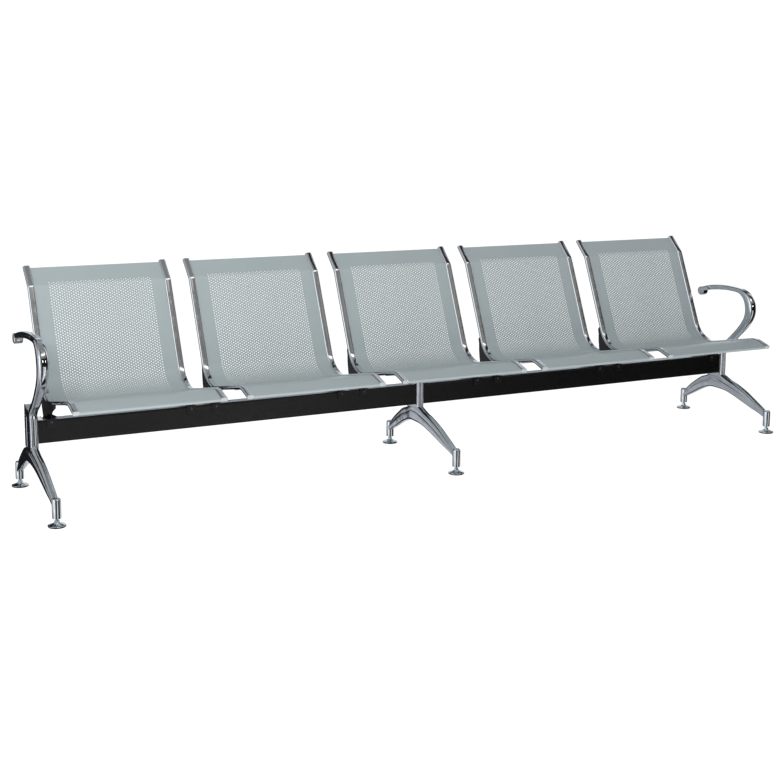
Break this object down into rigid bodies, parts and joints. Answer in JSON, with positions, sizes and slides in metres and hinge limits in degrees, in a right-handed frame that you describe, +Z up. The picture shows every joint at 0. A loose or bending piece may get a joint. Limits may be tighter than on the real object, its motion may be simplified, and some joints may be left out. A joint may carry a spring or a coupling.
{
  "type": "beam seating",
  "caption": "Public waiting bench: bucket-curved perforated steel seats between bent side tubes, on one box beam with cast legs, looped end armrests and levelling feet.",
  "frame": {"origin": "on the floor under the middle of the outline", "axes": "+X along the bench to the right seen from the front, +Y to the rear, +Z up"},
  "size_m": [3.038, 0.6545, 0.7805],
  "materials": {
    "cast_chrome": "polished and chrome plated casting",
    "tube_chrome": "chrome plated steel",
    "panel_paint": "satin silver grey powder coat",
    "black_paint": "semi-gloss black powder coat",
    "end_cap": "moulded black plastic",
    "screw": "dark zinc plated steel",
    "zinc": "bright blue zinc plated steel",
    "rubber": "matt black rubber"
  },
  "bodies": {
    "bench": {"armrest_left": "cast_chrome", "armrest_right": "cast_chrome", "beam": "black_paint", "bracket_screws": "screw", "clamp_bolts": "screw", "clamp_cap_middle": "cast_chrome", "leg_left": "cast_chrome", "leg_middle": "cast_chrome", "leg_right": "cast_chrome", "seat_1_bracket_left": "black_paint", "seat_1_bracket_right": "black_paint", "seat_1_panel": "panel_paint", "seat_1_rails": "black_paint", "seat_1_tube_left": "tube_chrome", "seat_1_tube_right": "tube_chrome", "seat_2_bracket_left": "black_paint", "seat_2_bracket_right": "black_paint", "seat_2_panel": "panel_paint", "seat_2_rails": "black_paint", "seat_2_tube_left": "tube_chrome", "seat_2_tube_right": "tube_chrome", "seat_3_bracket_left": "black_paint", "seat_3_bracket_right": "black_paint", "seat_3_panel": "panel_paint", "seat_3_rails": "black_paint", "seat_3_tube_left": "tube_chrome", "seat_3_tube_right": "tube_chrome", "seat_4_bracket_left": "black_paint", "seat_4_bracket_right": "black_paint", "seat_4_panel": "panel_paint", "seat_4_rails": "black_paint", "seat_4_tube_left": "tube_chrome", "seat_4_tube_right": "tube_chrome", "seat_5_bracket_left": "black_paint", "seat_5_bracket_right": "black_paint", "seat_5_panel": "panel_paint", "seat_5_rails": "black_paint", "seat_5_tube_left": "tube_chrome", "seat_5_tube_right": "tube_chrome", "tube_end_caps": "end_cap"},
    "foot_left_front_pad": {"foot_left_front_disc": "tube_chrome", "foot_left_front_rubber": "rubber"},
    "foot_left_front_screw": {"foot_left_front_stud": "zinc"},
    "foot_left_rear_pad": {"foot_left_rear_disc": "tube_chrome", "foot_left_rear_rubber": "rubber"},
    "foot_left_rear_screw": {"foot_left_rear_stud": "zinc"},
    "foot_middle_front_pad": {"foot_middle_front_disc": "tube_chrome", "foot_middle_front_rubber": "rubber"},
    "foot_middle_front_screw": {"foot_middle_front_stud": "zinc"},
    "foot_middle_rear_pad": {"foot_middle_rear_disc": "tube_chrome", "foot_middle_rear_rubber": "rubber"},
    "foot_middle_rear_screw": {"foot_middle_rear_stud": "zinc"},
    "foot_right_front_pad": {"foot_right_front_disc": "tube_chrome", "foot_right_front_rubber": "rubber"},
    "foot_right_front_screw": {"foot_right_front_stud": "zinc"},
    "foot_right_rear_pad": {"foot_right_rear_disc": "tube_chrome", "foot_right_rear_rubber": "rubber"},
    "foot_right_rear_screw": {"foot_right_rear_stud": "zinc"}
  },
  "joints": [
    {"name": "foot_left_front_level", "type": "slide", "parent": "bench", "child": "foot_left_front_screw", "axis": [0, 0, 1], "range_m": [-0.014, 0.006]},
    {"name": "foot_left_front_turn", "type": "hinge", "parent": "foot_left_front_screw", "child": "foot_left_front_pad", "pos_m": [-1.489, -0.274, 0.02], "axis": [0, 0, 1], "range_deg": [-3400, 1500]},
    {"name": "foot_left_rear_level", "type": "slide", "parent": "bench", "child": "foot_left_rear_screw", "axis": [0, 0, 1], "range_m": [-0.014, 0.006]},
    {"name": "foot_left_rear_turn", "type": "hinge", "parent": "foot_left_rear_screw", "child": "foot_left_rear_pad", "pos_m": [-1.489, 0.261, 0.02], "axis": [0, 0, 1], "range_deg": [-3400, 1500]},
    {"name": "foot_middle_front_level", "type": "slide", "parent": "bench", "child": "foot_middle_front_screw", "axis": [0, 0, 1], "range_m": [-0.014, 0.006]},
    {"name": "foot_middle_front_turn", "type": "hinge", "parent": "foot_middle_front_screw", "child": "foot_middle_front_pad", "pos_m": [-0.009, -0.274, 0.02], "axis": [0, 0, 1], "range_deg": [-3400, 1500]},
    {"name": "foot_middle_rear_level", "type": "slide", "parent": "bench", "child": "foot_middle_rear_screw", "axis": [0, 0, 1], "range_m": [-0.014, 0.006]},
    {"name": "foot_middle_rear_turn", "type": "hinge", "parent": "foot_middle_rear_screw", "child": "foot_middle_rear_pad", "pos_m": [-0.009, 0.261, 0.02], "axis": [0, 0, 1], "range_deg": [-3400, 1500]},
    {"name": "foot_right_front_level", "type": "slide", "parent": "bench", "child": "foot_right_front_screw", "axis": [0, 0, 1], "range_m": [-0.014, 0.006]},
    {"name": "foot_right_front_turn", "type": "hinge", "parent": "foot_right_front_screw", "child": "foot_right_front_pad", "pos_m": [1.489, -0.274, 0.02], "axis": [0, 0, 1], "range_deg": [-3400, 1500]},
    {"name": "foot_right_rear_level", "type": "slide", "parent": "bench", "child": "foot_right_rear_screw", "axis": [0, 0, 1], "range_m": [-0.014, 0.006]},
    {"name": "foot_right_rear_turn", "type": "hinge", "parent": "foot_right_rear_screw", "child": "foot_right_rear_pad", "pos_m": [1.489, 0.261, 0.02], "axis": [0, 0, 1], "range_deg": [-3400, 1500]}
  ],
  "couplings": [
    {"joint": "foot_left_front_turn", "follows": "foot_left_front_level", "rad_per_m": 4188.8},
    {"joint": "foot_left_rear_turn", "follows": "foot_left_rear_level", "rad_per_m": 4188.8},
    {"joint": "foot_middle_front_turn", "follows": "foot_middle_front_level", "rad_per_m": 4188.8},
    {"joint": "foot_middle_rear_turn", "follows": "foot_middle_rear_level", "rad_per_m": 4188.8},
    {"joint": "foot_right_front_turn", "follows": "foot_right_front_level", "rad_per_m": 4188.8},
    {"joint": "foot_right_rear_turn", "follows": "foot_right_rear_level", "rad_per_m": 4188.8}
  ]
}
